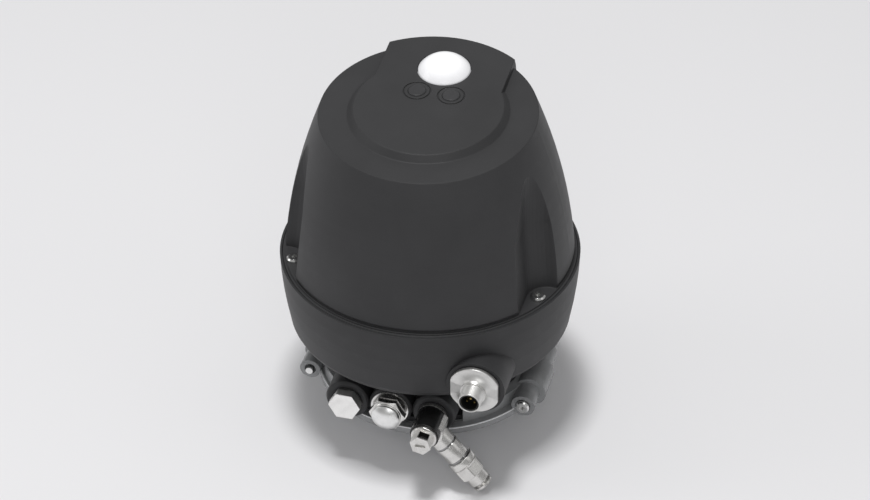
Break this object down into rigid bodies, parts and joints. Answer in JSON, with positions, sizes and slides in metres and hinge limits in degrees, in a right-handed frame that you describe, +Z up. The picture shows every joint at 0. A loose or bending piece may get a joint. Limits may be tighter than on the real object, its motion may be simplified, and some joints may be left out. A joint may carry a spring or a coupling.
{
  "type": "valve positioner",
  "caption": "Domed electropneumatic positioner head for a process valve: clamp ring, air ports with push-in elbow, round electrical connector, indicator light and buttons",
  "frame": {"origin": "centre of the adapter's face that rests on the actuator, where the spindle's axis meets it", "axes": "+Z up along the spindle, +Y to the back (the indicator light's side), -Y to the front with the air ports and the connector"},
  "size_m": [0.16, 0.1697, 0.2002],
  "materials": {
    "adapter_metal": "turned aluminium, satin",
    "seal_rubber": "black rubber",
    "pin_steel": "ground stainless steel",
    "magnet_metal": "plated magnet",
    "clamp_plastic": "clear smoke grey, moulded",
    "screw_steel": "bright stainless steel",
    "housing_plastic": "charcoal, fine matt texture",
    "cover_plastic": "charcoal, fine matt texture",
    "lens_plastic": "opal white, lit from within",
    "button_plastic": "charcoal, smooth",
    "board_laminate": "green solder mask",
    "switch_plastic": "black switch case",
    "lamp_plastic": "pale lamp body",
    "post_plastic": "natural nylon",
    "tube_plastic": "dark moulded plastic",
    "pillar_brass": "turned brass",
    "block_metal": "milled aluminium",
    "valve_plastic": "black moulded coil",
    "plug_metal": "nickel-plated brass, satin",
    "vent_metal": "nickel-plated, polished",
    "vent_cap_metal": "polished dome",
    "socket_metal": "nickel-plated brass, satin",
    "insert_plastic": "black insulator",
    "contact_metal": "gold-plated contacts",
    "elbow_metal": "nickel-plated brass",
    "sleeve_plastic": "black, glossy",
    "collar_metal": "nickel-plated brass"
  },
  "bodies": {
    "adapter": {"actuator_adapter": "adapter_metal", "adapter_seal": "seal_rubber"},
    "stem": {"sensing_pin": "pin_steel", "pin_magnet": "magnet_metal"},
    "head": {"front_clamp_half": "clamp_plastic", "rear_clamp_half": "clamp_plastic", "clamp_screws": "screw_steel", "base_bowl": "housing_plastic", "cover_seal": "seal_rubber", "dome_cover": "cover_plastic", "cover_screws": "screw_steel", "light_lens": "lens_plastic", "light_seal": "seal_rubber", "light_board": "board_laminate", "button_switches": "switch_plastic", "indicator_lamps": "lamp_plastic", "light_board_posts": "post_plastic", "sensor_tube": "tube_plastic", "sensor_board": "board_laminate", "main_board": "board_laminate", "board_pillars": "pillar_brass", "pneumatic_block": "block_metal", "feed_pilot_valve": "valve_plastic", "exhaust_pilot_valve": "valve_plastic", "plug_seal": "seal_rubber", "hex_plug": "plug_metal", "vent_washer": "vent_metal", "vent_seal": "seal_rubber", "vent_body": "vent_metal", "vent_cap": "vent_cap_metal", "socket_seal": "seal_rubber", "socket_housing": "socket_metal", "contact_insert": "insert_plastic", "contact_pins": "contact_metal", "elbow_seal": "seal_rubber", "elbow_bolt": "elbow_metal"},
    "left_button": {"left_button": "button_plastic"},
    "right_button": {"right_button": "button_plastic"},
    "elbow": {"elbow_sleeve": "sleeve_plastic", "elbow_branch": "elbow_metal", "push_in_body": "elbow_metal", "branch_rings": "seal_rubber"},
    "collar": {"release_collar": "collar_metal"}
  },
  "joints": [
    {"name": "head_swivel", "type": "hinge", "parent": "adapter", "child": "head", "pos_m": [0, 0, 0.0055], "axis": [0, 0, 1], "continuous": true},
    {"name": "stem_travel", "type": "slide", "parent": "adapter", "child": "stem", "axis": [0, 0, 1], "range_m": [0, 0.02]},
    {"name": "left_button_press", "type": "slide", "parent": "head", "child": "left_button", "axis": [0, 0.0837, -0.9965], "range_m": [0, 0.001], "stiffness_N_per_m": 400, "springref_m": -0.001},
    {"name": "right_button_press", "type": "slide", "parent": "head", "child": "right_button", "axis": [0, 0.0837, -0.9965], "range_m": [0, 0.001], "stiffness_N_per_m": 400, "springref_m": -0.001},
    {"name": "elbow_swivel", "type": "hinge", "parent": "head", "child": "elbow", "pos_m": [0.0181, -0.0717, 0.0162], "axis": [0, -1, 0], "range_deg": [-85, 51]},
    {"name": "collar_press", "type": "slide", "parent": "elbow", "child": "collar", "axis": [-0.6561, 0, 0.7547], "range_m": [0, 0.0015], "stiffness_N_per_m": 500, "springref_m": -0.001}
  ]
}
